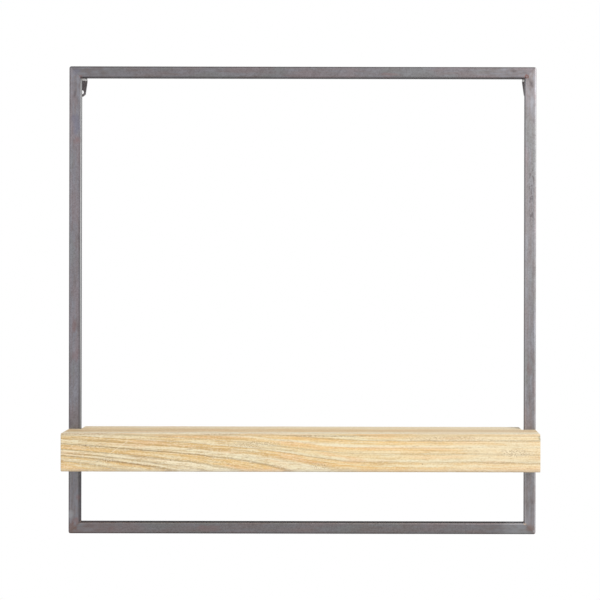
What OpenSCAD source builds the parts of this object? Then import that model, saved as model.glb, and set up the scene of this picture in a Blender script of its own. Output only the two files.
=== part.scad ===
// Wall shelf: a mitred steel tube frame, a notched pine board and two bent hangers.
// Front is -Y, the wall is the plane y = 0, and the origin lies midway between the two wall screw holes.

/* [Frame] */
// Outer width of the frame
frame_w = 500; // [300:10:900]
// Outer height of the frame
frame_h = 500; // [300:10:900]
// Side of the square tube
tube_side = 12; // [10:1:20]
// Wall thickness of the tube
tube_wall = 1.2; // [0.8:0.1:2.5]
// Radius of the tube's outer arrises
tube_r = 1.6; // [0.8:0.1:3]
// Radius of the tube's arrises inside
tube_inner_r = 0.4; // [0.2:0.1:2]
// Radius of the frame's outer corners, ground round after welding
corner_r = 2.8; // [1:0.1:6]
// Gap between the wall and the back of the tube
standoff = 16; // [8:1:30]

/* [Board] */
// Depth of the board, from the wall to its front
board_d = 70; // [64:1:160]
// Thickness of the board
board_t = 40; // [30:1:60]
// Clear height between the bottom rail and the board
board_gap = 60; // [20:1:200]
// Radius of the board's long arrises
arris_r = 1.5; // [0.5:0.1:4]
// Radius of the board's end arrises
end_r = 0.8; // [0.3:0.1:3]
// Side gap between the left upright and its notch
left_notch_gap = 1.5; // [0.2:0.1:5]
// Side gap between the right upright and its notch
right_notch_gap = 3.5; // [0.2:0.1:5]
// Rounding of the left notch's mouth
left_mouth_r = 1.5; // [0.5:0.5:8]
// Rounding of the right notch's mouth
right_mouth_r = 6; // [0.5:0.5:8]

/* [Hangers] */
// Thickness of the hanger strip
hanger_t = 2; // [1.5:0.1:3]
// Width of the strip at the bend
hanger_w = 12.2; // [10:0.1:20]
// Width of the tongue where its tip begins
tongue_w = 8.2; // [7:0.1:10]
// Width of the tongue's blunt tip
tip_w = 3.4; // [2:0.1:6]
// Height of the tip's two slanted corners
tip_h = 2.2; // [1:0.1:4]
// Inside radius of the bend
bend_r = 1.5; // [0.5:0.1:2.5]
// Diameter of the wall screw hole
hole_d = 4.5; // [3:0.1:6]
// From the top of the frame down to the hole
hole_drop = 25; // [22:1:60]
// From the hole's centre down to the tip
tip_drop = 4.8; // [4:0.1:10]
// How far the left hanger sits inboard of its upright's centre line
left_hanger_in = 2.5; // [0:0.1:6]
// How far the right hanger sits inboard of its upright's centre line
right_hanger_in = 0.5; // [0:0.1:6]

/* [Screws and welds] */
// Diameter of the board screws
screw_d = 4; // [3:0.5:5]
// Length of the board screws under the head
screw_l = 32; // [25:1:45]
// Length of the screw's point
point_l = 4; // [2:0.5:6]
// Diameter of the pan head
head_d = 7.6; // [7:0.1:9]
// Height of the pan head
head_h = 2.6; // [2:0.1:4]
// Height between the two screws of an upright
screw_pitch = 20; // [10:1:24]
// Length of the cross recess in the head
recess_l = 4.4; // [3:0.1:5]
// Width of the cross recess
recess_w = 1; // [0.6:0.1:1.4]
// Depth of the cross recess
recess_h = 1.5; // [0.8:0.1:1.8]
// Radial clearance of a screw in the tube
tube_fit = 0.3; // [0.1:0.05:1]
// Radial clearance of a screw in the board
board_fit = 0.1; // [0.05:0.05:0.5]
// Throat of the weld beads
weld_r = 1.3; // [0.6:0.1:2]
// Length of a corner weld bead
weld_l = 7; // [4:0.5:8]
// Bare strip left at each end of a hanger weld
weld_inset = 1.6; // [0.5:0.1:4]

/* [Hidden] */
$fn = 64;
// One overrun serves every cut that passes through
over = 1;
// Centre of the frame, seen from the origin between the wall screw holes
mid_x = (right_hanger_in - left_hanger_in) / 2;
mid_z = hole_drop - frame_h / 2;
// The tube's axis plane and faces
tube_back = -standoff;
tube_front = tube_back - tube_side;
tube_y = tube_back - tube_side / 2;
half_w = frame_w / 2;
half_h = frame_h / 2;
inner_w = half_w - tube_side;
inner_h = half_h - tube_side;
upright_x = half_w - tube_side / 2;
rail_z = half_h - tube_side / 2;
// The board's middle
board_z = mid_z - inner_h + board_gap + board_t / 2;
board_y = -board_d / 2;
hanger_x = [mid_x - upright_x + left_hanger_in, mid_x + upright_x - right_hanger_in];
// The hanger's upper leg lies level with the frame's inner face
hanger_low = hole_drop - tube_side;
hanger_top = hanger_low + hanger_t;
// The pan head is the cap of a ball
dome_r = (head_d * head_d / 4 + head_h * head_h) / (2 * head_h);

// A rectangle with round corners, centred
module rounded(size, r) {
    square([size[0] - 2 * r, size[1]], center = true);
    square([size[0], size[1] - 2 * r], center = true);
    for (x = [-1, 1], y = [-1, 1])
        translate([x * (size[0] / 2 - r), y * (size[1] / 2 - r)])
            circle(r);
}

// An outline drawn as seen from the front, given a depth towards the viewer
module seen_from_front(y_back, depth) {
    translate([0, y_back, 0])
        rotate([90, 0, 0])
            linear_extrude(depth)
                children();
}

// An outline drawn as seen from the right side, given a length across the shelf
module seen_from_side(length) {
    rotate([90, 0, 90])
        linear_extrude(length, center = true)
            children();
}

module tube_section() {
    bore = tube_side - 2 * tube_wall;
    difference() {
        rounded([tube_side, tube_side], tube_r);
        rounded([bore, bore], tube_inner_r);
    }
}

// Keeps what lies inside a mitred outline and the frame's ground corners
module mitred(outline) {
    intersection() {
        children();
        translate([mid_x, 0, mid_z])
            seen_from_front(tube_back + over, tube_side + 2 * over)
                intersection() {
                    polygon(outline);
                    rounded([frame_w, frame_h], corner_r);
                }
    }
}

// side is 1 for the top rail and -1 for the bottom rail
module rail(side) {
    outline = [[-half_w, side * half_h], [half_w, side * half_h],
               [inner_w, side * inner_h], [-inner_w, side * inner_h]];
    color("dimgray")
        mitred(outline)
            translate([mid_x, tube_y, mid_z + side * rail_z])
                seen_from_side(frame_w)
                    tube_section();
}

module screw_places(side) {
    for (step = [-1, 1])
        translate([mid_x + side * upright_x, tube_back, board_z + step * screw_pitch / 2])
            rotate([90, 0, 0])
                children();
}

// side is -1 for the left upright and 1 for the right upright
module upright(side) {
    outline = [[side * half_w, -half_h], [side * half_w, half_h],
               [side * inner_w, inner_h], [side * inner_w, -inner_h]];
    color("gray")
        difference() {
            mitred(outline)
                translate([mid_x + side * upright_x, tube_y, mid_z])
                    linear_extrude(frame_h, center = true)
                        tube_section();
            screw_places(side)
                translate([0, 0, -over])
                    cylinder(h = tube_side + 2 * over, r = screw_d / 2 + tube_fit);
        }
}

// Small beads that fill the frame's inner corners
module corner_welds() {
    color("saddlebrown")
        for (x = [-1, 1], z = [-1, 1])
            translate([mid_x + x * inner_w, 0, mid_z + z * inner_h])
                seen_from_front(tube_y + weld_l / 2, weld_l)
                    intersection() {
                        circle(weld_r);
                        translate([-x * weld_r, -z * weld_r])
                            square(2 * weld_r, center = true);
                    }
}

// The bent strip seen from the side: out from the tube, round the bend and down the wall
module hanger_bend() {
    bend = bend_r + hanger_t;
    translate([tube_back, hanger_low])
        square([standoff - bend, hanger_t]);
    translate([-hanger_t, -tip_drop])
        square([hanger_t, hanger_top - bend + tip_drop]);
    translate([-bend, hanger_top - bend])
        intersection() {
            difference() {
                circle(bend);
                circle(bend_r);
            }
            square(bend);
        }
}

// The tongue seen from the front, straight to the bend and then tapered to a blunt tip
module tongue() {
    bend_z = hanger_low - bend_r;
    shoulder_z = tip_h - tip_drop;
    polygon([[-hanger_w / 2, hanger_top], [hanger_w / 2, hanger_top], [hanger_w / 2, bend_z],
             [tongue_w / 2, shoulder_z], [tip_w / 2, -tip_drop], [-tip_w / 2, -tip_drop],
             [-tongue_w / 2, shoulder_z], [-hanger_w / 2, bend_z]]);
}

module hanger(x) {
    color("slategray")
        translate([x, 0, 0])
            difference() {
                intersection() {
                    seen_from_side(hanger_w)
                        hanger_bend();
                    seen_from_front(0, standoff)
                        tongue();
                }
                seen_from_front(over, hanger_t + 2 * over)
                    circle(d = hole_d);
            }
}

// A bead on top of each hanger, against the back of the tube
module hanger_welds() {
    color("saddlebrown")
        for (x = hanger_x)
            translate([x, tube_back, hanger_top])
                seen_from_side(hanger_w - 2 * weld_inset)
                    intersection() {
                        circle(weld_r);
                        square(weld_r);
                    }
}

// The part of the board's outline, seen from above, that a notch takes away
module notch(side, gap, mouth_r) {
    wall_x = inner_w - gap;
    translate([mid_x, 0])
        mirror([side < 0 ? 1 : 0, 0]) {
            translate([wall_x, tube_front])
                square([tube_side + gap + over, over - tube_front]);
            translate([wall_x - mouth_r, -mouth_r])
                difference() {
                    square(mouth_r + over);
                    circle(mouth_r);
                    translate([mouth_r, 0])
                        square(mouth_r + over);
                }
        }
}

module shelf_board() {
    color("burlywood")
        difference() {
            intersection() {
                translate([mid_x, board_y, board_z])
                    seen_from_side(frame_w)
                        rounded([board_d, board_t], arris_r);
                translate([mid_x, 0, board_z])
                    seen_from_front(0, board_d)
                        rounded([frame_w, board_t], end_r);
                translate([0, 0, board_z])
                    linear_extrude(board_t, center = true)
                        difference() {
                            translate([mid_x, board_y])
                                rounded([frame_w, board_d], end_r);
                            notch(-1, left_notch_gap, left_mouth_r);
                            notch(1, right_notch_gap, right_mouth_r);
                        }
            }
            for (side = [-1, 1])
                screw_places(side)
                    screw_body(screw_d / 2 + board_fit);
        }
}

// The screw's shank and point, from the head's seat into the board
module screw_body(r) {
    sunk = (head_h - recess_h) / 2;
    translate([0, 0, -sunk])
        cylinder(h = screw_l - point_l + sunk, r = r);
    translate([0, 0, screw_l - point_l])
        cylinder(h = point_l, r1 = r, r2 = 0);
}

module pan_head() {
    difference() {
        translate([0, 0, dome_r - head_h])
            sphere(dome_r);
        translate([0, 0, dome_r])
            cube(2 * dome_r, center = true);
        for (turn = [0, 90])
            rotate([0, 0, turn])
                translate([0, 0, -head_h])
                    cube([recess_l, recess_w, 2 * recess_h], center = true);
    }
}

module board_screws() {
    color("silver")
        for (side = [-1, 1])
            screw_places(side) {
                screw_body(screw_d / 2);
                pan_head();
            }
}

rail(1);  // top_rail
rail(-1);  // bottom_rail
upright(-1);  // left_upright
upright(1);  // right_upright
corner_welds();
hanger(hanger_x[0]);  // left_hanger
hanger(hanger_x[1]);  // right_hanger
hanger_welds();
shelf_board();
board_screws();
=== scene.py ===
import math

import bmesh
import bpy
from mathutils import Matrix, Vector, noise


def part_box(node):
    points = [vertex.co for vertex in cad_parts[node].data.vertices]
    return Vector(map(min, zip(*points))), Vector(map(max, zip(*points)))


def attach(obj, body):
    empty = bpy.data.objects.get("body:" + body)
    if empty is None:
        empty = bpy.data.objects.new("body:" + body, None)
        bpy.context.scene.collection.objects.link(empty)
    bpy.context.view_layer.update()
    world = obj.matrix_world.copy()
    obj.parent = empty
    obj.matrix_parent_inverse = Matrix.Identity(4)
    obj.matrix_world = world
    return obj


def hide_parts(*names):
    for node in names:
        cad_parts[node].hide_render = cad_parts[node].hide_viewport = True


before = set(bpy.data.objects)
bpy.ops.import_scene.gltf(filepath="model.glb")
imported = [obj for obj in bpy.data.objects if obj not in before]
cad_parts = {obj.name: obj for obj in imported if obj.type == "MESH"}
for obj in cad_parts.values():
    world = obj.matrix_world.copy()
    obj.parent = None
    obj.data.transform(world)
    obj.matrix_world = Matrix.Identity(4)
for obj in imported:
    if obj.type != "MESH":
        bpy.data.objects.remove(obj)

mm = 0.001
scene = bpy.context.scene
scene.view_settings.view_transform = "Standard"
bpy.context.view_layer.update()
print("frame loaded with", len(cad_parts), "nodes")


# Places on the steel frame and the board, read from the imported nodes
def readPlaces():
    leftLow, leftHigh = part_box("left_upright")
    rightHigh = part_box("right_upright")[1]
    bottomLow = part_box("bottom_rail")[0]
    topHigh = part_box("top_rail")[1]
    boardLow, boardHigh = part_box("shelf_board")
    side = leftHigh[0] - leftLow[0]
    halfW = (rightHigh[0] - leftLow[0]) / 2
    halfH = (topHigh[2] - bottomLow[2]) / 2
    return {
        "midX": (leftLow[0] + rightHigh[0]) / 2,
        "midZ": (bottomLow[2] + topHigh[2]) / 2,
        "tubeSide": side,
        "tubeFront": leftLow[1],
        "tubeBack": leftHigh[1],
        "tubeY": (leftLow[1] + leftHigh[1]) / 2,
        "halfW": halfW,
        "halfH": halfH,
        "innerW": halfW - side,
        "innerH": halfH - side,
        "boardLow": boardLow,
        "boardHigh": boardHigh,
    }


place = readPlaces()

# The node tree in hand. The helpers below add to it and take sockets or plain values
current = {"tree": None}


def link(source, target):
    current["tree"].links.new(source, target)


def put(kind, inputs=None, **settings):
    node = current["tree"].nodes.new(kind)
    for name, value in settings.items():
        setattr(node, name, value)
    for key, value in (inputs or {}).items():
        if isinstance(value, bpy.types.NodeSocket):
            link(value, node.inputs[key])
        else:
            node.inputs[key].default_value = value
    return node


# Adds a node and gives its first output
def output(kind, inputs=None, **settings):
    return put(kind, inputs, **settings).outputs[0]


def calc(operation, *values):
    return output("ShaderNodeMath", dict(enumerate(values)), operation=operation)


# Folds any number of values with one operation, from left to right
def fold(operation, values):
    result = values[0]
    for value in values[1:]:
        result = calc(operation, result, value)
    return result


def plus(*values):
    return fold("ADD", values)


def minus(*values):
    return fold("SUBTRACT", values)


def times(*values):
    return fold("MULTIPLY", values)


def larger(*values):
    return fold("MAXIMUM", values)


def centred(value):
    return minus(value, 0.5)


def apart(first, second):
    return calc("ABSOLUTE", minus(first, second))


def far(first, second):
    return calc("SQRT", plus(calc("POWER", first, 2.0), calc("POWER", second, 2.0)))


# Distance from a spot given in mm: in metres, or counted in the spot's own half sizes
def fromSpot(axes, spot, halves=None):
    gaps = [minus(axis, at * mm) for axis, at in zip(axes, spot)]
    if halves:
        gaps = [times(gap, 1000 / half) for gap, half in zip(gaps, halves)]
    return far(*gaps)


def vector(x=0.0, y=0.0, z=0.0):
    return output("ShaderNodeCombineXYZ", {0: x, 1: y, 2: z})


def partsOf(value):
    return tuple(put("ShaderNodeSeparateXYZ", {0: value}).outputs)


def objectPoint():
    return put("ShaderNodeTexCoord").outputs["Object"]


def span(value, low, high, toLow=0.0, toHigh=1.0, mode="SMOOTHSTEP"):
    inputs = {0: value, 1: low, 2: high, 3: toLow, 4: toHigh}
    return output("ShaderNodeMapRange", inputs, interpolation_type=mode)


# One from start to stop, easing to nothing at both ends
def between(value, start, stop, ease):
    return times(span(value, start - ease, start + ease), span(value, stop + ease, stop - ease))


def ramp(value, stops):
    node = put("ShaderNodeValToRGB", {0: value})
    elements = node.color_ramp.elements
    while len(elements) < len(stops):
        elements.new(0.5)
    for element, (position, colour) in zip(elements, stops):
        element.position = position
        if isinstance(colour, (int, float)):
            colour = (colour, colour, colour)
        element.color = (*colour, 1)
    return node.outputs[0]


def speckle(point, scale, detail=2.0, roughness=0.5):
    inputs = {"Vector": point, "Scale": scale, "Detail": detail, "Roughness": roughness}
    return output("ShaderNodeTexNoise", inputs)


# Noise drawn out along one axis: a bigger number is finer
def stretched(axes, first, second, third, detail=2.0, roughness=0.5):
    parts = [times(axis, scale) for axis, scale in zip(axes, (first, second, third))]
    return speckle(vector(*parts), 1.0, detail, roughness)


def blend(factor, first, second, mode="MIX"):
    node = put("ShaderNodeMix", {0: factor}, data_type="RGBA", blend_type=mode)
    for socket, value in ((node.inputs[6], first), (node.inputs[7], second)):
        if isinstance(value, bpy.types.NodeSocket):
            link(value, socket)
        else:
            socket.default_value = (*value, 1)
    return node.outputs[2]


def startMaterial(name):
    material = bpy.data.materials.new(name)
    material.use_nodes = True
    material.node_tree.nodes.clear()
    current["tree"] = material.node_tree
    return material


# Ends a material: bump is its strength, its depth and the height that drives it
def surface(colour, roughness, bump=None, more=None):
    inputs = {"Base Color": colour, "Roughness": roughness, **(more or {})}
    if bump:
        strength, distance, height = bump
        bumped = put("ShaderNodeBump", {"Strength": strength, "Distance": distance, "Height": height})
        inputs["Normal"] = bumped.outputs[0]
    link(output("ShaderNodeBsdfPrincipled", inputs), put("ShaderNodeOutputMaterial").inputs[0])


# Pine: rings round a pith that runs in front of and below the board
pineLook = {
    "pithBelow": 12 * mm,  # under the board's lower face
    "pithInFront": 45 * mm,  # of the board's face, at the left end
    "leanLeft": 0.057,  # how fast the pith draws away along the left third
    "leanEnd": -92 * mm,
    "swing": (-110 * mm, 70 * mm, 9.5 * mm),  # from, to, how far
    "wander": 1.3 * mm,
    # honey belts by their distance from the pith in mm: from, to and tone, 0 chalky to 1 deep
    "belts": ((46.0, 50.4, 0.58), (52.4, 53.4, 0.80), (57.4, 60.8, 0.62), (64.2, 65.9, 0.88),
              (66.1, 67.2, 0.62), (68.4, 70.4, 0.42), (70.7, 73.4, 0.62), (75.2, 77.7, 0.66)),
    "ground": 0.15,
    # thin dark lines where a ring ends, pale ones between the belts, and how strong each is
    "ringEnds": ((50.7, 0.60), (53.5, 1.0), (55.2, 0.70), (57.3, 0.75), (61.0, 1.0), (64.6, 0.50),
                 (67.3, 0.55), (70.6, 0.45), (77.8, 0.70)),
    "glints": ((51.6, 0.6), (56.4, 1.0), (63.4, 0.5), (74.4, 0.4)),
    "lineWidth": 0.55,
    "outerStep": 5.2,  # ring width beyond the last of them
    # through one of those rings: share of its width, and tone
    "outerRing": ((0.0, 0.30), (0.08, 0.12), (0.45, 0.20), (0.70, 0.62), (0.93, 0.95), (1.0, 0.30)),
    "topBelts": ((74, 87, -0.80), (90, 108, 0.75), (120, 131, -0.45)),  # broad belts on the top face
    "topShade": (90, 108, 0.30),  # the darkest of them, towards the right
    "beltEase": 3,
    "underTop": 0.42,  # how much deeper the front is just under its top arris
    # noises along, across and round the grain, with their detail and roughness
    "fibres": {
        "patch": (7.0, 140.0, 30.0, 2.0, 0.5),
        "streak": (13.0, 900.0, 300.0, 3.0, 0.6),
        "hair": (34.0, 1100.0, 500.0, 2.0, 0.65),
        "dash": (150.0, 1100.0, 1500.0, 1.0, 0.5),
        "wire": (7.0, 1500.0, 120.0, 1.0, 0.5),
        "tint": (16.0, 300.0, 60.0, 2.0, 0.5),
        "pore": (520.0, 900.0, 900.0, 2.0, 0.6),
        "stipple": (850.0, 1400.0, 1400.0, 2.0, 0.6),
    },
    # laid over the belts in turn: fibre, where it starts and is full, strength and colour
    "overlays": (
        ("wire", 0.57, 0.66, 0.28, "line"), ("wire", 0.43, 0.32, 0.24, "chalk"),
        ("hair", 0.52, 0.61, 0.48, "amber"), ("hair", 0.47, 0.37, 0.36, "chalk"),
        ("pore", 0.52, 0.66, 0.48, "amber"), ("pore", 0.48, 0.34, 0.48, "chalk"),
        ("dash", 0.60, 0.72, 0.48, "fleck"),
    ),
    # colours from chalky to deep: the right half is paler and more golden
    "toneSteps": (0.02, 0.24, 0.60, 1.0),
    "leftTones": ((0.850, 0.770, 0.570), (0.800, 0.655, 0.398), (0.770, 0.522, 0.226),
                  (0.565, 0.360, 0.145)),
    "rightTones": ((0.800, 0.730, 0.535), (0.785, 0.660, 0.410), (0.815, 0.562, 0.255),
                   (0.715, 0.445, 0.180)),
    "turns": (-130 * mm, 0.0, 0.90),  # from, to, and how far the change goes
    "chalk": (0.875, 0.775, 0.560),
    "amber": (0.550, 0.360, 0.160),
    "warm": (0.800, 0.490, 0.250),
    "green": (0.780, 0.740, 0.530),
    "line": (0.260, 0.160, 0.072),
    "fleck": (0.270, 0.170, 0.100),
    "arris": (0.475, 0.350, 0.190),
    "paleRight": (0.775, 0.695, 0.535),  # what the right end fades to
    "endGrain": (0.600, 0.460, 0.290),
    "greyAndShade": (0.560, 0.500, 0.410),  # painted shade on the top face, greyer and darker, and a greyer strip along the lower front arris
    "relief": 0.25 * mm,
    "pinholes": ((-224.8, -375.9, 0.75), (-136.3, -390.7, 0.6), (126.0, -394.5, 0.5)),  # x, z, radius in mm
    "scratch": ((-200.8, -385.0), (-182.0, -371.5)),
    "bruise": (0.17, 0.17, 0.11),
    # where the brush bit deeper: x, z, half length and half height in mm
    "rough": ((-219, -376, 14, 3), (-205, -391, 15, 3), (-52, -374, 34, 4), (18, -397, 11, 4),
              (150, -368, 56, 4), (224, -383, 20, 5)),
    # broken dark lines along the top arris: from, to and z in mm
    "tears": ((-262, -196, -363.7), (-112, -60, -363.8), (-34, 84, -365.2)),
}


# The tone of the wood by its rings, and what the colours need with it
def pineRings(x, y, z):
    look = pineLook
    low, high = place["boardLow"], place["boardHigh"]

    # distance from the pith, in mm, gives the rings, so they run round from face to face
    swingFrom, swingTo, swingBy = look["swing"]
    lean = times(minus(calc("MINIMUM", x, look["leanEnd"]), low[0]), look["leanLeft"])
    lean = plus(lean, span(x, swingFrom, swingTo, 0.0, swingBy))
    out = plus(minus(y, low[1] - look["pithInFront"]), lean)
    up = minus(z, low[2] - look["pithBelow"])
    slow = stretched((x, y, z), 14.0, 14.0, 20.0)
    quick = stretched((x, y, z), 190.0, 190.0, 110.0, 1.0)
    quickBy = span(x, 0.0, 170 * mm, 0.20 * mm, 0.45 * mm)
    radius = far(out, up)
    arc = times(calc("ARCTAN2", up, out), radius)
    radius = plus(radius, times(centred(slow), look["wander"]), times(centred(quick), quickBy))
    ring = times(radius, 1000.0)

    # known belts near the face, each soft on its inner side, and plainer rings further out
    first, last = look["belts"][0][0], look["belts"][-1][1] + 2.5
    ground = look["ground"]
    stops = []
    for start, stop, tone in look["belts"]:
        stops += [(start - 0.3, ground), (start + 0.4, 0.85 * tone), (stop, tone), (stop + 0.3, ground)]
    stops = [((max(where, first) - first) / (last - first), tone) for where, tone in stops]
    near = ramp(calc("DIVIDE", minus(ring, first), last - first), stops)
    uneven = speckle(vector(times(ring, 0.11), 0.37, 0.11), 1.0, 1.0)
    part = calc("FRACT", plus(calc("DIVIDE", ring, look["outerStep"]), times(uneven, 2.0)))
    outer = larger(span(ring, last - 0.5, last + 1.0), span(ring, first + 0.5, first - 1.0))
    tone = plus(times(near, minus(1.0, outer)), times(ramp(part, look["outerRing"]), outer))
    belt = times(far(minus(y, low[1] - look["pithInFront"] - 10 * mm), up), 1000.0)
    for start, stop, change in look["topBelts"]:
        tone = plus(tone, times(between(belt, start, stop, look["beltEase"]), change))
    underTop = times(span(minus(high[2], z), 7 * mm, 4.5 * mm), span(minus(y, low[1]), 3 * mm, 1 * mm),
                     span(x, -150 * mm, 0.0, 0.45, 1.0))
    tone = plus(tone, times(underTop, look["underTop"]))

    def drawLines(rows, under):
        for where, strength in rows:
            under = larger(under, span(apart(ring, where), look["lineWidth"], 0.1, 0.0, strength))
        return under

    ends = drawLines(look["ringEnds"], times(calc("POWER", part, 14.0), times(outer, 0.5)))
    glints = drawLines(look["glints"], 0.0)
    fibres = {name: stretched((x, radius, arc), *fine) for name, fine in look["fibres"].items()}
    return tone, ends, glints, fibres, belt, slow


# Small marks on the front: pinholes, rough patches, torn lines and a scratch
def pineMarks(colour, x, y, z, fibres, slow):
    look = pineLook
    front = calc("LESS_THAN", y, place["boardLow"][1] + 2.5 * mm)
    for *spot, size in look["pinholes"]:
        hole = span(fromSpot((x, z), spot), size * 1.6 * mm, size * 0.6 * mm, 0.0, 0.8)
        colour = blend(times(hole, front), colour, look["fleck"])
    rough = 0.0
    for spotX, spotZ, *halves in look["rough"]:
        rough = larger(rough, span(fromSpot((x, z), (spotX, spotZ), halves), 1.1, 0.5))
    rough = times(rough, front)
    colour = blend(times(rough, span(fibres["stipple"], 0.51, 0.59, 0.0, 0.45)), colour, look["chalk"])
    colour = blend(times(rough, span(fibres["stipple"], 0.50, 0.41, 0.0, 0.56)), colour, look["fleck"])
    waver = times(centred(slow), 1.5 * mm)
    for start, stop, level in look["tears"]:
        ease = (stop - start) / 4
        along = times(span(x, start * mm, (start + ease) * mm), span(x, stop * mm, (stop - ease) * mm))
        tear = times(span(apart(z, plus(level * mm, waver)), 0.8 * mm, 0.3 * mm), along,
                     span(fibres["pore"], 0.46, 0.54, 0.15, 0.75), front)
        colour = blend(tear, colour, look["fleck"])
    (startX, startZ), (endX, endZ) = look["scratch"]
    length = math.hypot(endX - startX, endZ - startZ)
    alongX, alongZ = (endX - startX) / length, (endZ - startZ) / length
    fromX, fromZ = minus(x, startX * mm), minus(z, startZ * mm)
    aside = apart(times(fromX, alongZ), times(fromZ, alongX))
    along = plus(times(fromX, alongX), times(fromZ, alongZ))
    onLine = times(calc("GREATER_THAN", along, 0.0), calc("LESS_THAN", along, length * mm))
    scratch = times(span(aside, 0.6 * mm, 0.2 * mm, 0.0, 0.55), onLine, front)
    return blend(scratch, colour, look["chalk"])


def makePine():
    look = pineLook
    material = startMaterial("brushedPine")
    x, y, z = partsOf(objectPoint())
    low, high = place["boardLow"], place["boardHigh"]
    tone, ends, glints, fibres, belt, slow = pineRings(x, y, z)
    patch, streak, tint = fibres["patch"], fibres["streak"], fibres["tint"]

    # fibres follow the rings: long patches, streaks, fine hairs, short dashes and pores
    coarse = span(x, -100 * mm, 40 * mm, 1.0, 0.70)  # the left half is brushed deeper
    tone = plus(tone, times(centred(patch), 0.38), times(centred(streak), coarse, 0.54))
    leftColour = ramp(tone, list(zip(look["toneSteps"], look["leftTones"])))
    rightColour = ramp(tone, list(zip(look["toneSteps"], look["rightTones"])))
    turnsFrom, turnsTo, turnsBy = look["turns"]
    colour = blend(span(x, turnsFrom, turnsTo, 0.0, turnsBy), leftColour, rightColour)
    colour = blend(span(tint, 0.52, 0.66, 0.0, 0.55), colour, look["warm"])
    colour = blend(span(tint, 0.48, 0.34, 0.0, 0.45), colour, look["green"])
    # paler towards the right end
    colour = blend(span(x, 60 * mm, 230 * mm, 0.0, 0.35), colour, look["paleRight"])
    colour = blend(times(glints, span(patch, 0.66, 0.40, 0.4, 0.9)), colour, look["chalk"])
    ends = times(ends, span(patch, 0.34, 0.56, 0.60, 1.0))
    colour = blend(times(ends, 0.78), colour, look["line"])
    for fibre, start, full, share, shade in look["overlays"]:
        laid = times(span(fibres[fibre], start, full), times(coarse, share))
        colour = blend(laid, colour, look[shade])
    colour = pineMarks(colour, x, y, z, fibres, slow)

    # the bruised corner, and long arrises that darken where the brush tore them
    fromTop, fromFace = minus(high[2], z), minus(y, low[1])
    fromCorner = plus(apart(x, high[0]), calc("ABSOLUTE", fromFace), times(apart(z, high[2] - 3 * mm), 0.55))
    bruise = times(span(fromCorner, 3.6 * mm, 1.6 * mm), span(fibres["dash"], 0.35, 0.55, 0.45, 1.0))
    colour = blend(times(bruise, 0.75), colour, look["bruise"])
    torn = times(span(plus(fromFace, fromTop), 3.4 * mm, 1.6 * mm), span(patch, 0.32, 0.54, 0.55, 1.0))
    torn = times(torn, times(calc("GREATER_THAN", fromTop, fromFace), 0.52))
    colour = blend(torn, colour, look["arris"])
    fromUnder = plus(fromFace, minus(z, low[2]))
    tornUnder = times(span(fromUnder, 2.2 * mm, 1.0 * mm), span(streak, 0.35, 0.60))
    colour = blend(times(tornUnder, 0.12), colour, look["line"])
    # a greyer strip along the lower front arris
    colour = blend(span(fromUnder, 3.8 * mm, 2.4 * mm, 0.0, 0.35), colour, look["greyAndShade"])
    start, stop, share = look["topShade"]
    topShade = times(between(belt, start, stop, look["beltEase"]), span(x, -80 * mm, 60 * mm, 0.0, share))
    colour = blend(topShade, colour, look["arris"])

    # the top face is painted greyer and darker as shade, told by which way the face looks; end grain is
    # browner, told the same way
    facing = partsOf(put("ShaderNodeTexCoord").outputs["Normal"])
    colour = blend(span(facing[2], 0.55, 0.85, 0.0, 0.18), colour, look["greyAndShade"])
    endFace = span(calc("ABSOLUTE", facing[0]), 0.55, 0.85)
    colour = blend(times(endFace, 0.45), colour, look["endGrain"])

    height = plus(times(tone, 0.30), times(fibres["hair"], 0.55), times(fibres["pore"], 0.35))
    surface(colour, span(streak, 0.2, 0.8, 0.60, 0.76), (0.6, look["relief"], height),
            {"Specular IOR Level": 0.25})
    return material


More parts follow.
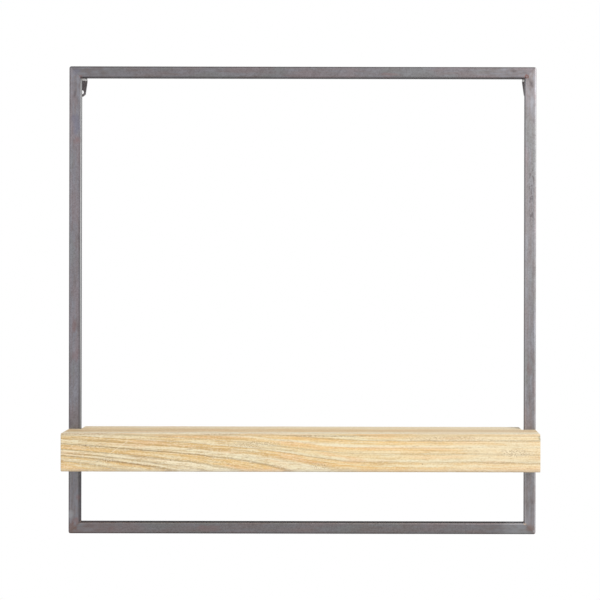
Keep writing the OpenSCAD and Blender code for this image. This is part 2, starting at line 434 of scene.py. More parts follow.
# Raw steel: mottled mill finish, stained where the corners were welded and rusty low down
steelLook = {
    "dark": (0.105, 0.090, 0.095),
    "brown": (0.200, 0.176, 0.176),
    "grey": (0.205, 0.196, 0.208),
    "blue": (0.262, 0.262, 0.285),
    "rosy": (0.228, 0.190, 0.196),
    "mossy": (0.197, 0.204, 0.200),
    # pale painted light for the hangers' undersides
    "paintedUnderLight": (0.92, 0.92, 0.91),
    "rust": (0.160, 0.100, 0.080),
    "redTint": (0.210, 0.120, 0.115),
    "blueTint": (0.150, 0.155, 0.235),
    "paleTint": (0.42, 0.45, 0.47),
    # a painted sheen, laid on the left upright's inner side as a reflection
    "sheen": (0.80, 0.81, 0.80),
    "tan": (0.52, 0.43, 0.34),
    "edgeTint": (0.34, 0.34, 0.35),  # how little the oxide shines at a glancing angle
    "metallic": 0.85,
    # noises along the tube, across it and in depth, with their detail and roughness
    "mottle": (110.0, 220.0, 220.0, 3.0, 0.55),
    "drawn": (34.0, 190.0, 190.0, 2.0, 0.55),
    "grain": (42.0, 620.0, 620.0, 2.0, 0.6),
    "hue": (26.0, 90.0, 90.0, 2.0, 0.5),
    "toneSteps": (0.34, 0.45, 0.52, 0.66),  # dark, brown, grey and blue
    # stains on the front: place in mm from the frame's middle, size in mm, tint and strength
    "stains": (
        (-242.0, 244.0, 5.0, "blueTint", 0.24), (-238.0, 239.0, 3.0, "redTint", 0.45),
        (-240.5, -211.0, 4.0, "redTint", 0.40), (-241.5, -236.0, 5.0, "redTint", 0.35),
        (-249.0, -230.0, 6.0, "paleTint", 0.32), (-246.0, -244.0, 6.0, "rust", 0.55),
        (-222.0, -244.0, 30.0, "redTint", 0.16), (230.0, -244.0, 22.0, "paleTint", 0.20),
        (243.0, -243.0, 5.5, "rust", 0.42), (248.0, -247.0, 1.6, "paleTint", 0.60),
        (239.0, -239.0, 2.4, "tan", 0.75), (243.0, 60.0, 95.0, "paleTint", 0.11),
    ),
    # longer flushes of colour: place, half width and half height in mm, tint and strength
    "flushes": (
        (-243.0, 188.0, 5.0, 14.0, "blueTint", 0.32), (-242.0, 170.5, 4.0, 5.0, "redTint", 0.42),
        (-244.0, -29.0, 3.0, 10.0, "redTint", 0.36), (-242.0, -60.0, 4.0, 8.0, "redTint", 0.30),
        (242.8, -74.0, 3.5, 10.0, "redTint", 0.26), (-101.0, -244.0, 18.0, 4.0, "redTint", 0.28),
        (95.0, 242.0, 10.0, 1.8, "redTint", 0.26),
    ),
    "pits": ((245.0, 114.0), (3.2, 36.0)),  # where the right upright's scale has cracked: place, half sizes
    "burn": ((239.2, 240.0), 1.5),  # a ring of scale round the top right weld: place, radius
    "burnTint": (0.150, 0.074, 0.064),
}

# One look to a tube: its tone, partly its own tint and partly painted light that makes the right upright
# paler and the rails darker, and how far the painted highlights and shade on its arrises and inner side stray
# from it
tubeLooks = {
    "top_rail": {"runs": "X", "tone": (0.825, 0.82, 0.825), "outerArris": 0.66, "outerLine": 1.10,
                 "innerArris": 1.0, "innerSide": 0.60, "calm": 0.65},
    "bottom_rail": {"runs": "X", "tone": (0.84, 0.83, 0.82), "outerArris": 0.62, "outerLine": 1.0,
                    "innerArris": 1.10, "innerSide": 0.22, "calm": 0.55},
    "left_upright": {"runs": "Z", "tone": (1.025, 1.03, 1.07), "outerArris": 0.80, "outerLine": 1.20,
                     "innerArris": 0.62, "innerSide": 0.55, "paintedSheen": (0.45, 0.95), "calm": 0.85},
    "right_upright": {"runs": "Z", "tone": (1.10, 1.10, 1.09), "outerArris": 1.75, "outerLine": 1.05,
                      "innerArris": 1.40, "innerSide": 0.95, "calm": 0.85},
}
# the hangers are kept nearly unmetallic so that the painted light on their undersides shows
hangerLook = {"runs": "Z", "tone": (0.92, 0.92, 0.91), "calm": 1.0, "metallic": 0.05}


# Painted light on a tube: its arrises painted paler as highlights or darker as shade by which way they face
# the lamp, its inner side painted darker as shade, and a thin paler or darker line just inside the outer
# arris
def paintTubeLight(colour, own, depth, y, z, fromMidZ):
    half = place["tubeSide"] / 2
    front = place["tubeFront"]

    def scaled(factor, level):
        return blend(factor, colour, (own[level], own[level], own[level]), "MULTIPLY")

    fromAxis = far(minus(depth, half), minus(y, place["tubeY"]))
    ahead = calc("LESS_THAN", y, place["tubeY"])
    outside = times(calc("GREATER_THAN", depth, half), ahead)
    inside = times(calc("LESS_THAN", depth, half), ahead)
    # painted highlight or shade on the outer arris
    colour = scaled(times(span(fromAxis, 1.22 * half, 1.27 * half), outside), "outerArris")
    # a thin line just inside the outer arris, paler or darker, left out on the uprights from their middle to
    # 130 mm below it
    edgeLine = times(span(apart(fromAxis, 1.18 * half), 0.05 * half, 0.02 * half), outside)
    if own["runs"] == "Z":
        edgeLine = times(edgeLine, span(calc("ABSOLUTE", plus(fromMidZ, 65 * mm)), 65 * mm, 90 * mm))
    colour = scaled(edgeLine, "outerLine")
    # painted shade or highlight on the inner arris
    colour = scaled(times(span(fromAxis, 1.21 * half, 1.28 * half), inside), "innerArris")
    # the inner side painted darker as shade
    onSide = times(span(depth, 0.35 * mm, 0.10 * mm), span(y, front + 0.9 * mm, front + 1.9 * mm))
    colour = scaled(onSide, "innerSide")
    if "paintedSheen" in own:
        # painted sheen: above the board the side is painted paler as a reflection, most of all high up and at
        # the front
        share = times(span(fromMidZ, -0.6 * place["halfH"], 0.3 * place["halfH"], *own["paintedSheen"]),
                      span(y, front + 5 * mm, front + 7 * mm, 1.0, 0.10),
                      calc("GREATER_THAN", z, place["boardLow"][2]))
        colour = blend(times(onSide, share), colour, steelLook["sheen"])
    return colour


# Stains, flushes, cracks and a burn, all broken up by the mottling
def tubeStains(colour, parts, axes, broken):
    look = steelLook
    for *spot, size, tint, strength in look["stains"]:
        away = plus(fromSpot(axes, spot), times(broken, size * 2.4 * mm))
        colour = blend(span(away, size * mm, size * 0.25 * mm, 0.0, strength), colour, look[tint])
    for spotX, spotZ, halfX, halfZ, tint, strength in look["flushes"]:
        away = plus(fromSpot(axes, (spotX, spotZ), (halfX, halfZ)), times(broken, 2.0))
        colour = blend(span(away, 1.1, 0.4, 0.0, strength), colour, look[tint])
    cracks = stretched(parts, 520.0, 520.0, 260.0, 2.0, 0.6)
    pits = times(span(fromSpot(axes, *look["pits"]), 1.1, 0.8), span(cracks, 0.54, 0.62, 0.0, 0.62))
    colour = blend(pits, colour, look["dark"])
    burnSpot, burnSize = look["burn"]
    away = plus(fromSpot(axes, burnSpot), times(broken, 3.0 * mm))
    return blend(span(apart(away, burnSize * mm), 1.1 * mm, 0.2 * mm, 0.0, 0.85), colour, look["burnTint"])


def makeSteel(name, own, welded=True):
    look = {**steelLook, **own}
    runs, calm = look["runs"], look["calm"]
    material = startMaterial(name)
    point = objectPoint()
    x, y, z = partsOf(point)
    axes = (x, z, y) if runs == "X" else (z, x, y)

    cloud = speckle(point, 24.0)
    grit = speckle(point, 700.0, 2.0, 0.6)
    mottle, drawn, grain, hue = (stretched(axes, *look[key]) for key in ("mottle", "drawn", "grain", "hue"))
    shade = plus(times(mottle, 0.20), times(cloud, 0.16), times(drawn, 0.30), times(grain, 0.34))
    shade = plus(times(shade, calm), 0.5 - 0.5 * calm)
    mossy = 0.5
    if welded:
        # grinding and heat left the steel patchier near the corners
        fromMidX, fromMidZ = minus(x, place["midX"]), minus(z, place["midZ"])
        fromMid, inner = (fromMidX, place["innerW"]) if runs == "X" else (fromMidZ, place["innerH"])
        near = span(minus(inner, calc("ABSOLUTE", fromMid)), 60 * mm, 10 * mm)
        patches = plus(times(centred(mottle), 0.32), times(centred(grit), 0.45))
        shade = plus(shade, times(patches, near))
        mossy = span(near, 0.0, 1.0, 0.5, 0.1, "LINEAR")
    # the tube's tone: partly its own tint, partly painted light that makes the right upright paler and the
    # rails darker
    tones = {key: tuple(channel * level for channel, level in zip(look[key], look["tone"]))
             for key in ("dark", "brown", "grey", "blue", "rosy", "mossy")}
    colour = ramp(shade, list(zip(look["toneSteps"], tones.values())))
    colour = blend(span(hue, 0.50, 0.66, 0.0, 0.60), colour, tones["rosy"])
    colour = blend(times(span(hue, 0.48, 0.34), mossy), colour, tones["mossy"])
    colour = blend(span(grit, 0.50, 0.66, 0.0, 0.30), colour, tones["dark"])
    colour = blend(span(grit, 0.48, 0.34, 0.0, 0.30), colour, tones["blue"])
    roughness = span(mottle, 0.3, 0.7, 0.38, 0.50)
    height = plus(times(grain, 0.4), times(grit, 0.6))

    if welded:
        # how far a point lies outside the frame's inner faces
        dx = minus(calc("ABSOLUTE", fromMidX), place["innerW"])
        dz = minus(calc("ABSOLUTE", fromMidZ), place["innerH"])
        depth = dz if runs == "X" else dx
        colour = paintTubeLight(colour, own, depth, y, z, fromMidZ)
        broken = centred(mottle)
        colour = tubeStains(colour, (x, y, z), (fromMidX, fromMidZ), broken)

        # rust follows the lower mitres and comes out in stray specks
        seamGap = apart(dx, dz)
        inCorner = times(calc("GREATER_THAN", dx, -1 * mm), calc("GREATER_THAN", dz, -1 * mm))
        lowCorner = span(fromMidZ, 0.0, -place["halfH"] / 2, 0.08, 1.0)
        nearSeam = span(plus(seamGap, times(broken, 9 * mm)), 4.0 * mm, 0.0)
        rust = times(times(nearSeam, inCorner), times(lowCorner, 0.34))
        rust = larger(rust, span(speckle(point, 230.0, 3.0), 0.72, 0.78, 0.0, 0.4))
        colour = blend(rust, colour, look["rust"])
        seam = times(span(seamGap, 0.35 * mm, 0.1 * mm), inCorner)
        colour = blend(times(seam, lowCorner, 0.25), colour, look["dark"])
        roughness = plus(roughness, times(rust, 0.4))
        height = minus(height, times(seam, 0.9))
    else:
        # the strip's underside is painted pale, as light thrown up from below
        facing = partsOf(put("ShaderNodeNewGeometry").outputs["True Normal"])[2]
        colour = blend(span(facing, -0.35, -0.75), colour, look["paintedUnderLight"])

    surface(colour, roughness, (0.40, 0.06 * mm, height),
            {"Metallic": look["metallic"], "Specular Tint": (*look["edgeTint"], 1)})
    return material


# Weld metal: lumpy, oxidised bronze and blue over grey
weldLook = {
    "grey": (0.20, 0.185, 0.185),
    "bronze": (0.21, 0.125, 0.085),
    "blue": (0.10, 0.11, 0.165),
}


def makeWeldMetal():
    look = weldLook
    material = startMaterial("weldMetal")
    point = objectPoint()
    heat = speckle(point, 380.0, 3.0)
    spatter = speckle(point, 1500.0)
    colour = ramp(heat, [(0.38, look["blue"]), (0.47, look["bronze"]), (0.60, look["grey"])])
    colour = blend(span(spatter, 0.58, 0.7, 0.0, 0.6), colour, look["bronze"])
    surface(colour, span(heat, 0.3, 0.7, 0.36, 0.6), (0.5, 0.12 * mm, spatter), {"Metallic": 0.8})
    return material


# Zinc plate on the screws: pale, faintly yellowed and worn
zincLook = {
    "bright": (0.42, 0.43, 0.44),
    "yellow": (0.40, 0.375, 0.30),
    "worn": (0.20, 0.20, 0.20),
}


def makeZinc():
    look = zincLook
    material = startMaterial("zincPlate")
    point = objectPoint()
    cloud = speckle(point, 260.0, 3.0)
    grime = speckle(point, 900.0, 3.0)
    colour = ramp(cloud, [(0.36, look["bright"]), (0.62, look["yellow"])])
    colour = blend(span(grime, 0.56, 0.7, 0.0, 0.7), colour, look["worn"])
    surface(colour, span(cloud, 0.3, 0.7, 0.28, 0.45), (0.3, 0.05 * mm, grime), {"Metallic": 0.9})
    return material


def dressNode(name, material):
    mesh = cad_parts[name].data
    mesh.materials.clear()
    mesh.materials.append(material)


pine = makePine()
hangerSteel = makeSteel("hangerSteel", hangerLook, welded=False)
weldMetal = makeWeldMetal()
zincPlate = makeZinc()
for nodeName, tubeLook in tubeLooks.items():
    dressNode(nodeName, makeSteel(nodeName + "_steel", tubeLook))
print("materials made")


# Makes a finished mesh a piece of the shelf, in place of the CAD nodes it stands for
def standFor(name, mesh, slot, *nodes):
    piece = bpy.data.objects.new(name, mesh)
    scene.collection.objects.link(piece)
    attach(piece, "root")
    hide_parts(*nodes)
    return piece


# Keeps the modifiers' result as a plain mesh in one material
def bakeModifiers(carrier, material):
    bpy.context.view_layer.update()
    evaluated = carrier.evaluated_get(bpy.context.evaluated_depsgraph_get())
    mesh = bpy.data.meshes.new_from_object(evaluated)
    carrier.modifiers.clear()
    bpy.data.objects.remove(carrier)
    mesh.materials.clear()
    mesh.materials.append(material)
    for face in mesh.polygons:
        face.material_index = 0
    return mesh


def shadeBy(mesh, degrees):
    mesh.shade_smooth()
    mesh.set_sharp_from_angle(angle=math.radians(degrees))


def newCarrier(name, mesh):
    carrier = bpy.data.objects.new(name, mesh)
    scene.collection.objects.link(carrier)
    return carrier


# Keeps a bmesh as a plain mesh
def keepMesh(shape, name):
    mesh = bpy.data.meshes.new(name)
    shape.to_mesh(mesh)
    shape.free()
    return mesh


# Faces between each two rings of points in turn
def skin(shape, rings):
    for first, second in zip(rings, rings[1:]):
        for index in range(len(first)):
            following = (index + 1) % len(first)
            shape.faces.new((first[index], first[following], second[following], second[index]))


# Board: one rounded length, its arrises unevenly brushed, notched round the uprights
boardShape = {
    "arris": 1.5 * mm,
    "arrisSteps": 6,
    "endArris": 0.8 * mm,
    "sectionStep": 2.4 * mm,
    "pointStep": 2.6 * mm,
    # steps in mm that start a side, and the length, finely
    "fineSide": (0.0, 0.4, 0.9, 1.5, 2.2, 3.0, 4.0, 5.2, 6.6),
    "fineEnd": (0.0, 0.08, 0.2, 0.35, 0.55, 0.8, 1.1, 1.5, 2.0, 2.6, 3.4, 4.4, 5.6, 7.0),
    "brushed": 0.35 * mm,  # most that brushing takes off an arris
    "chipSize": (2.4 * mm, 2.6 * mm, 5.5 * mm),
    "chipDepth": 1.1 * mm,
    "notchGaps": (1.5 * mm, 3.5 * mm),  # left, right
    "notchMouths": (1.5 * mm, 6.0 * mm),
    "mouthSteps": 12,
    "overrun": 2 * mm,  # how far a cutter reaches past the board
    "screwHole": 2.1 * mm,
    "screwPitch": 20 * mm,
    "screwReach": 21 * mm,  # into the wood, from the notch's front wall
}


# Steps that start fine at both ends of a length and are even between
def gradedSteps(length, fine, even):
    fine = [step * mm for step in fine]
    inner = length - 2 * fine[-1]
    count = max(1, round(inner / even))
    middle = [fine[-1] + inner * step / count for step in range(1, count)]
    return fine + middle + [length - step for step in reversed(fine)]


def boardOutline():
    look = boardShape
    low, high = place["boardLow"], place["boardHigh"]
    radius = look["arris"]
    midY, midZ = (low[1] + high[1]) / 2, (low[2] + high[2]) / 2
    halfY, halfZ = (high[1] - low[1]) / 2, (high[2] - low[2]) / 2
    outline = []
    # four sides, each a straight run and then a quarter turn, seen from the right end
    for turn in range(4):
        angle = turn * math.pi / 2
        ahead = Vector((math.cos(angle), math.sin(angle)))
        out = Vector((ahead.y, -ahead.x))
        reach, across = (halfY, halfZ) if turn % 2 == 0 else (halfZ, halfY)
        run = 2 * (reach - radius)
        start = out * across - ahead * (reach - radius)
        for step in gradedSteps(run, look["fineSide"], look["pointStep"])[:-1]:
            outline.append(start + ahead * step)
        centre = start + ahead * run - out * radius
        for step in range(look["arrisSteps"]):
            bend = math.pi / 2 * step / look["arrisSteps"]
            outline.append(centre + out * radius * math.cos(bend) + ahead * radius * math.sin(bend))
    return [(midY + point.x, midZ + point.y) for point in outline]


def brushArrises(vert, low, high):
    look = boardShape
    co = vert.co
    nearY = min(co.y - low[1], high[1] - co.y)
    nearZ = min(co.z - low[2], high[2] - co.z)
    reach = 2.4 * look["arris"]
    arris = max(0.0, 1 - math.hypot(nearY, nearZ) / reach)
    wear = noise.noise(Vector((co.x * 32, co.y * 9, co.z * 9 + 3))) * 0.5 + 0.5
    nibble = max(0.0, noise.noise(Vector((co.x * 210, co.y * 40, co.z * 40))) - 0.15)
    inward = Vector((0, (low[1] + high[1]) / 2 - co.y, (low[2] + high[2]) / 2 - co.z))
    inward.y, inward.z = math.copysign(1, inward.y), math.copysign(1, inward.z)
    co += inward * arris * look["brushed"] * (0.55 * wear + 0.8 * nibble)


def chipCorner(vert, low, high):
    look = boardShape
    corner = Vector((high[0], low[1], high[2]))
    away = vert.co - corner
    size = look["chipSize"]
    spread = math.sqrt(sum((away[axis] / size[axis]) ** 2 for axis in range(3)))
    if spread < 1:
        rough = 0.65 + 0.6 * noise.noise(vert.co * 900)
        vert.co += Vector((-0.8, 0.75, -0.35)) * look["chipDepth"] * (1 - spread ** 2) * rough


def boardLength():
    look = boardShape
    low, high = place["boardLow"], place["boardHigh"]
    outline = boardOutline()
    centre = Vector(((low[1] + high[1]) / 2, (low[2] + high[2]) / 2))
    shape = bmesh.new()
    rings = []
    for step in gradedSteps(high[0] - low[0], look["fineEnd"], look["sectionStep"]):
        fromEnd = min(step, high[0] - low[0] - step)
        bite = max(0.0, look["endArris"] - fromEnd)
        inset = look["endArris"] - math.sqrt(max(0.0, look["endArris"] ** 2 - bite ** 2))
        ring = []
        for y, z in outline:
            toward = centre - Vector((y, z))
            shrunkY = y + math.copysign(min(inset, abs(toward.x)), toward.x)
            shrunkZ = z + math.copysign(min(inset, abs(toward.y)), toward.y)
            ring.append(shape.verts.new((low[0] + step, shrunkY, shrunkZ)))
        rings.append(ring)
    skin(shape, rings)
    shape.faces.new(list(reversed(rings[0])))
    shape.faces.new(rings[-1])
    for vert in shape.verts:
        brushArrises(vert, low, high)
        chipCorner(vert, low, high)
    bmesh.ops.recalc_face_normals(shape, faces=shape.faces)
    return keepMesh(shape, "boardLength")


def notchCutter(side, gap, mouth):
    low, high = place["boardLow"], place["boardHigh"]
    overrun, steps = boardShape["overrun"], boardShape["mouthSteps"]
    wall = place["innerW"] - gap
    back = high[1]
    outer = place["halfW"] + overrun
    plan = [(outer, place["tubeFront"]), (wall, place["tubeFront"]), (wall, back - mouth)]
    for step in range(1, steps + 1):
        bend = math.pi / 2 * step / steps
        plan.append((wall - mouth + mouth * math.cos(bend), back - mouth + mouth * math.sin(bend)))
    plan += [(wall - mouth, back + overrun), (outer, back + overrun)]
    shape = bmesh.new()
    rings = [[shape.verts.new((place["midX"] + side * x, y, z)) for x, y in plan]
             for z in (low[2] - overrun, high[2] + overrun)]
    skin(shape, rings)
    for ring in rings:
        shape.faces.new(ring)
    bmesh.ops.recalc_face_normals(shape, faces=shape.faces)
    return newCarrier("notchCutter", keepMesh(shape, "notch"))


# Where the four screws go through the uprights: x, z, side and step
def screwPlaces():
    midZ = (place["boardLow"][2] + place["boardHigh"][2]) / 2
    return [(place["midX"] + side * (place["halfW"] + place["innerW"]) / 2,
             midZ + step * boardShape["screwPitch"], side, step)
            for side in (-1, 1) for step in (-0.5, 0.5)]


def holeCutters():
    look = boardShape
    shape = bmesh.new()
    for x, z, *_ in screwPlaces():
        centre = (x, place["tubeFront"] - look["screwReach"] / 2 + look["overrun"] / 2, z)
        turned = Matrix.Translation(centre) @ Matrix.Rotation(math.pi / 2, 4, "X")
        bmesh.ops.create_cone(shape, cap_ends=True, segments=24, radius1=look["screwHole"],
                              radius2=look["screwHole"], depth=look["screwReach"] + look["overrun"],
                              matrix=turned)
    return newCarrier("holeCutter", keepMesh(shape, "screwHoles"))


def closeSeams(mesh):
    shape = bmesh.new()
    shape.from_mesh(mesh)
    bmesh.ops.remove_doubles(shape, verts=shape.verts, dist=0.004 * mm)
    bmesh.ops.dissolve_degenerate(shape, edges=shape.edges, dist=0.002 * mm)
    bmesh.ops.holes_fill(shape, edges=[edge for edge in shape.edges if edge.is_boundary], sides=0)
    bmesh.ops.recalc_face_normals(shape, faces=shape.faces)
    shape.to_mesh(mesh)
    shape.free()


def makeBoard():
    carrier = newCarrier("boardCarrier", boardLength())
    gaps, mouths = boardShape["notchGaps"], boardShape["notchMouths"]
    cutters = [notchCutter(*sizes) for sizes in zip((-1, 1), gaps, mouths)]
    cutters.append(holeCutters())
    for cutter in cutters:
        cut = carrier.modifiers.new(cutter.name, "BOOLEAN")
        cut.operation = "DIFFERENCE"
        cut.solver = "EXACT"
        cut.object = cutter
    mesh = bakeModifiers(carrier, pine)
    for cutter in cutters:
        bpy.data.objects.remove(cutter)
    closeSeams(mesh)
    shadeBy(mesh, 38)
    return standFor("pineBoard", mesh, "brushed_pine", "shelf_board")


board = makeBoard()
print("board made with", len(board.data.polygons), "faces")


# Geometry Nodes: a tree with named inputs, run once on a mesh of points and kept as a plain mesh
def startTree(name, sizes):
    tree = bpy.data.node_groups.new(name, "GeometryNodeTree")
    tree.interface.new_socket("Geometry", in_out="INPUT", socket_type="NodeSocketGeometry")
    for label, value in sizes.items():
        kind = "NodeSocketInt" if isinstance(value, int) else "NodeSocketFloat"
        tree.interface.new_socket(label, in_out="INPUT", socket_type=kind)
    tree.interface.new_socket("Geometry", in_out="OUTPUT", socket_type="NodeSocketGeometry")
    current["tree"] = tree
    return put("NodeGroupInput").outputs


# Ends a tree: a copy of the piece on each point, turned as the point says
def repeatOnPoints(given, piece, material):
    turn = output("GeometryNodeInputNamedAttribute", {"Name": "turn"}, data_type="FLOAT_VECTOR")
    copies = output("GeometryNodeInstanceOnPoints",
                    {"Points": given["Geometry"], "Instance": piece, "Rotation": turn})
    solid = output("GeometryNodeRealizeInstances", {0: copies})
    dressed = output("GeometryNodeSetMaterial", {"Geometry": solid, "Material": material})
    link(dressed, put("NodeGroupOutput").inputs[0])
    return current["tree"]


def growOn(places, turns, tree, sizes, material):
    mesh = bpy.data.meshes.new(tree.name + "Points")
    mesh.from_pydata(places, [], [])
    attribute = mesh.attributes.new("turn", "FLOAT_VECTOR", "POINT")
    for index, turn in enumerate(turns):
        attribute.data[index].vector = turn
    carrier = newCarrier(tree.name, mesh)
    modifier = carrier.modifiers.new(tree.name, "NODES")
    modifier.node_group = tree
    for item in tree.interface.items_tree:
        if item.in_out == "INPUT" and item.name in sizes:
            modifier[item.identifier] = sizes[item.name]
    return bakeModifiers(carrier, material)


# Weld beads: a quarter round, rippled as the bead was laid and drawn in at both ends
beadSizes = {
    "corner": {"throat": 0.9 * mm, "length": 7 * mm, "ripples": 9, "ripple": 0.13},
    "hanger": {"throat": 1.3 * mm, "length": 9 * mm, "ripples": 11, "ripple": 0.13},
}


def beadTree(sizes):
    given = startTree("weldBead", sizes)
    half = times(given["length"], 0.5)
    line = output("GeometryNodeCurvePrimitiveLine",
                  {"Start": vector(z=times(half, -1.0)), "End": vector(z=half)})
    line = output("GeometryNodeResampleCurve", {"Curve": line, "Count": times(given["ripples"], 6.0)})
    along = put("GeometryNodeSplineParameter").outputs["Factor"]
    wave = calc("ABSOLUTE", calc("SINE", times(along, given["ripples"], math.pi)))
    crest = minus(1.0, times(minus(1.0, wave), given["ripple"]))
    fromMiddle = apart(times(along, 2.0), 1.0)
    taper = calc("SQRT", larger(0.03, minus(1.0, calc("POWER", fromMiddle, 7.0))))
    line = output("GeometryNodeSetCurveNormal", {"Curve": line, "Normal": (0.0, 1.0, 0.0)}, mode="FREE")
    arc = output("GeometryNodeCurveArc",
                 {"Resolution": 9, "Radius": given["throat"], "Start Angle": -math.pi / 2,
                  "Sweep Angle": math.pi / 2, "Connect Center": True}, mode="RADIUS")
    bead = output("GeometryNodeCurveToMesh",
                  {"Curve": line, "Profile Curve": arc, "Scale": times(crest, taper),
                   "Fill Caps": True})
    return repeatOnPoints(given, bead, weldMetal)


def makeBeads(name, node, sizes, places, turns):
    mesh = growOn(places, turns, beadTree(sizes), sizes, weldMetal)
    shadeBy(mesh, 50)
    standFor(name, mesh, "weld_metal", node)


def cornerBeads():
    places, turns = [], []
    for turn, (side, level) in enumerate(((-1, -1), (-1, 1), (1, 1), (1, -1))):
        places.append((place["midX"] + side * place["innerW"], place["tubeY"],
                       place["midZ"] + level * place["innerH"]))
        turns.append((math.pi / 2, turn * math.pi / 2, 0))
    makeBeads("cornerBeads", "corner_welds", beadSizes["corner"], places, turns)


def hangerBeads():
    places = []
    for node in ("left_hanger", "right_hanger"):
        low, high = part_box(node)
        places.append(((low[0] + high[0]) / 2, place["tubeBack"], high[2]))
    turns = [(math.pi / 2, 0, math.pi / 2)] * len(places)
    makeBeads("hangerBeads", "hanger_welds", beadSizes["hanger"], places, turns)


cornerBeads()
hangerBeads()
print("weld beads made")


# Board screws: pan heads with a cross recess, and a thread that stops short of the point
screwSizes = {
    "headRadius": 3.8 * mm,
    "headHeight": 2.6 * mm,
    "domeRadius": 5.2 * mm,
    "recessLength": 4.4 * mm,
    "recessWidth": 1.0 * mm,
    "recessDepth": 1.5 * mm,
    "coreRadius": 1.45 * mm,
    "threadRadius": 1.95 * mm,
    "plain": 6.0 * mm,
    "length": 32 * mm,
    "point": 4 * mm,
    "pitch": 1.8 * mm,
}


def screwTree(sizes):
    given = startTree("boardScrew", sizes)

    def shifted(geometry, z, turn=0.0):
        return output("GeometryNodeTransform", {"Geometry": geometry, "Translation": vector(z=z),
                                                "Rotation": (0.0, 0.0, turn)})

    def rod(vertices, radius, depth):
        return output("GeometryNodeMeshCylinder",
                      {"Vertices": vertices, "Radius": radius, "Depth": depth})

    def join(kind, pieces, socket=0, **settings):
        node = put(kind, **settings)
        for piece in pieces:
            link(piece, node.inputs[socket])
        return node.outputs[0]

    # head: a ball's cap, squared off at the rim
    ball = output("GeometryNodeMeshUVSphere",
                  {"Segments": 40, "Rings": 28, "Radius": given["domeRadius"]})
    ball = shifted(ball, minus(given["domeRadius"], given["headHeight"]))
    drum = shifted(rod(40, given["headRadius"], given["headHeight"]), times(given["headHeight"], -0.5))
    head = join("GeometryNodeMeshBoolean", (ball, drum), "Mesh 2", operation="INTERSECT", solver="EXACT")
    bars = []
    for turn in (0.0, math.pi / 2):
        size = vector(given["recessLength"], given["recessWidth"], times(given["recessDepth"], 2.0))
        bar = output("GeometryNodeMeshCube", {"Size": size})
        bars.append(shifted(bar, times(given["headHeight"], -1.0), turn))
    slots = join("GeometryNodeJoinGeometry", bars)
    recessed = output("GeometryNodeMeshBoolean", {"Mesh 1": head, "Mesh 2": slots, "Self Intersection": True},
                      operation="DIFFERENCE", solver="EXACT")

    # shank: plain under the head, then a core with the thread wound round it
    shankLength = minus(given["length"], given["point"])
    core = shifted(rod(20, given["coreRadius"], shankLength), times(shankLength, 0.5))
    plain = shifted(rod(24, given["threadRadius"], given["plain"]), times(given["plain"], 0.5))
    tip = output("GeometryNodeMeshCone",
                 {"Vertices": 20, "Radius Top": 0.0001, "Radius Bottom": given["coreRadius"],
                  "Depth": given["point"]})
    tip = shifted(tip, shankLength)
    wound = minus(shankLength, plus(given["plain"], given["pitch"]))
    mean = times(plus(given["coreRadius"], given["threadRadius"]), 0.5)
    spiral = output("GeometryNodeCurveSpiral",
                    {"Resolution": 20, "Rotations": calc("DIVIDE", wound, given["pitch"]),
                     "Start Radius": mean, "End Radius": mean, "Height": wound})
    ridge = output("GeometryNodeCurvePrimitiveCircle",
                   {"Resolution": 4, "Radius": minus(given["threadRadius"], mean)}, mode="RADIUS")
    thread = output("GeometryNodeCurveToMesh",
                    {"Curve": spiral, "Profile Curve": ridge, "Fill Caps": True})
    thread = shifted(thread, given["plain"])
    whole = join("GeometryNodeJoinGeometry", (thread, tip, plain, core, recessed))
    return repeatOnPoints(given, whole, zincPlate)


def makeScrews():
    places, turns = [], []
    for x, z, side, step in screwPlaces():
        places.append((x, place["tubeBack"], z))
        turns.append((math.pi / 2, 0.7 * side + step, 0))
    mesh = growOn(places, turns, screwTree(screwSizes), screwSizes, zincPlate)
    shadeBy(mesh, 35)
    standFor("boardScrews", mesh, "zinc_plate", "board_screws")


makeScrews()
print("screws made")


# Hangers: the CAD strips with their sheared edges eased
hangerEase = {"width": 0.28 * mm, "steps": 2}


def makeHanger(node, name):
    shape = bmesh.new()
    shape.from_mesh(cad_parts[node].data)
    bmesh.ops.remove_doubles(shape, verts=shape.verts, dist=0.01 * mm)
    bmesh.ops.dissolve_limit(shape, angle_limit=math.radians(1), verts=shape.verts, edges=shape.edges)
    carrier = newCarrier(name + "Carrier", keepMesh(shape, name))
    ease = carrier.modifiers.new("ease", "BEVEL")
    ease.width = hangerEase["width"]
    ease.segments = hangerEase["steps"]
    ease.limit_method = "ANGLE"
    ease.angle_limit = math.radians(35)
    mesh = bakeModifiers(carrier, hangerSteel)
    shadeBy(mesh, 35)
    standFor(name, mesh, "raw_steel", node)


makeHanger("left_hanger", "leftTongue")
makeHanger("right_hanger", "rightTongue")
print("hangers made")


# Camera: straight on, right of the frame's middle and above it, with the picture shifted back
cameraView = {
    "picture": 600,  # pixels across and down
    "focalPixels": 1483.5,
    "distance": 1.587,  # from the frame's front
    "vanishing": (361.4, 262.25),  # pixel where lines into the wall meet
    "right": 63 * mm,
    "above": 40.8 * mm,
    "rollDegrees": -0.118,
    "sensor": 36,
}


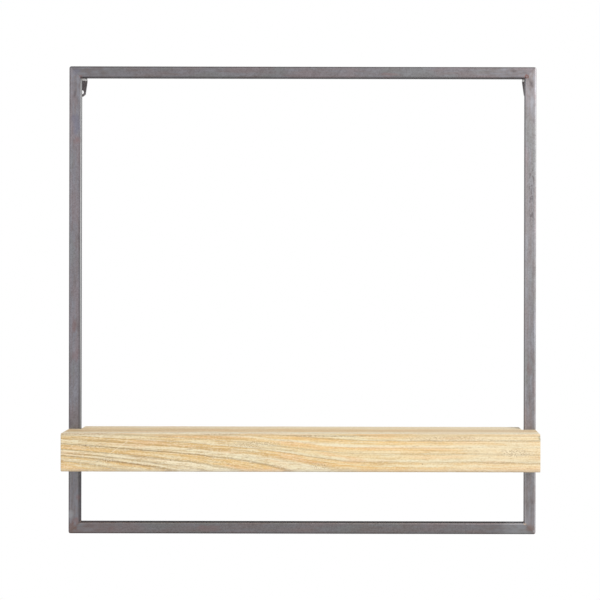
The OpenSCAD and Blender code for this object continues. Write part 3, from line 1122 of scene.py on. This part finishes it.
def placeCamera():
    view = cameraView
    lens = bpy.data.cameras.new("camera")
    lens.sensor_width = view["sensor"]
    lens.lens = view["focalPixels"] / view["picture"] * view["sensor"]
    lens.shift_x = 0.5 - view["vanishing"][0] / view["picture"]
    lens.shift_y = view["vanishing"][1] / view["picture"] - 0.5
    camera = newCarrier("camera", lens)
    camera.location = (place["midX"] + view["right"], place["tubeFront"] - view["distance"],
                       place["midZ"] + view["above"])
    camera.rotation_euler = (math.pi / 2, math.radians(view["rollDegrees"]), 0)
    scene.camera = camera


# Studio: white all round, one soft lamp at the right, a weaker one at the left
studio = {
    "floorDrop": 0.75,  # below the frame
    "floorSize": 3.2,
    "floorColour": (0.86, 0.86, 0.85, 1),
    "roomLight": 0.52,
    "lamps": {
        "rightLamp": {"at": (1.12, -1.46, 0.95), "size": 0.9, "watts": 40},
        "leftLamp": {"at": (-1.6, -1.7, 0.5), "size": 1.2, "watts": 3},
    },
}


def lightStudio():
    world = bpy.data.worlds.new("studio")
    world.use_nodes = True
    world.node_tree.nodes.clear()
    current["tree"] = world.node_tree
    path = put("ShaderNodeLightPath").outputs
    seen = larger(path["Is Camera Ray"], larger(path["Is Glossy Ray"], path["Is Transmission Ray"]))
    room = output("ShaderNodeBackground", {0: (1, 1, 1, 1), 1: studio["roomLight"]})
    white = output("ShaderNodeBackground", {0: (1, 1, 1, 1), 1: 1.0})
    mixed = output("ShaderNodeMixShader", {0: seen, 1: room, 2: white})
    link(mixed, put("ShaderNodeOutputWorld").inputs[0])
    scene.world = world
    aim = Vector((place["midX"], place["tubeFront"], place["midZ"]))
    for name, lamp in studio["lamps"].items():
        data = bpy.data.lights.new(name, "AREA")
        data.shape = "DISK"
        data.size = lamp["size"]
        data.energy = lamp["watts"]
        lampObject = newCarrier(name, data)
        lampObject.location = lamp["at"]
        lampObject.rotation_euler = (aim - Vector(lamp["at"])).to_track_quat("-Z", "Y").to_euler()


def layFloor():
    shape = bmesh.new()
    bmesh.ops.create_grid(shape, x_segments=4, y_segments=4, size=studio["floorSize"] / 2)
    mesh = keepMesh(shape, "floor")
    level = place["midZ"] - place["halfH"] - studio["floorDrop"]
    mesh.transform(Matrix.Translation((place["midX"], place["tubeY"], level)))
    mesh.materials.append(startMaterial("paleFloor"))
    surface(studio["floorColour"], 0.8)
    floor = newCarrier("floor", mesh)


placeCamera()
lightStudio()
layFloor()
print("camera, lamps and floor set")
